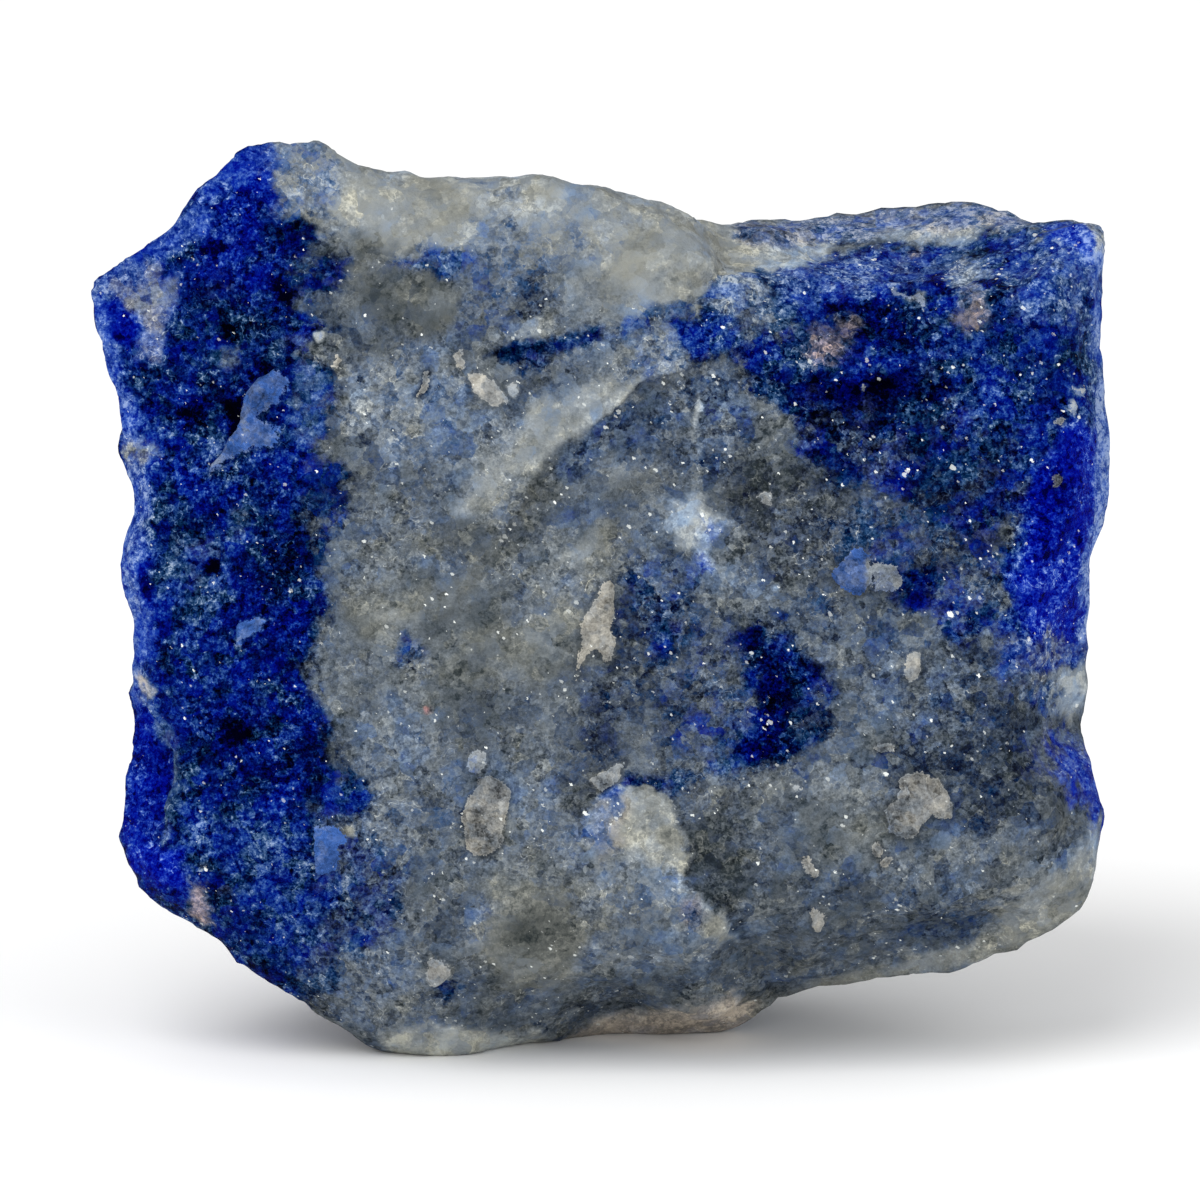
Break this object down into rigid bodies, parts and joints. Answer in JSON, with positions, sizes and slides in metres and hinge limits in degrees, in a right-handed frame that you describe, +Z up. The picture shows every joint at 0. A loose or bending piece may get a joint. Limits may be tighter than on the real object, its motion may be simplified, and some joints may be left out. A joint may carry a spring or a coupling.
{
  "type": "rough sodalite",
  "caption": "Rough blocky chunk of blue and grey-white sodalite, broken on every side, resting upright on a small flat spot.",
  "frame": {"origin": "middle of the bounding box's bottom, on the surface the stone rests on", "axes": "+Z up; +X along the width of the broad face, left to right; +Y from the broad face into the stone"},
  "size_m": [0.0382, 0.0274, 0.034],
  "materials": {
    "sodalite": "rough granular fracture, deep blue with grey-white mottling and fine glints"
  },
  "bodies": {
    "root": {"sodalite": "sodalite"}
  },
  "joints": []
}
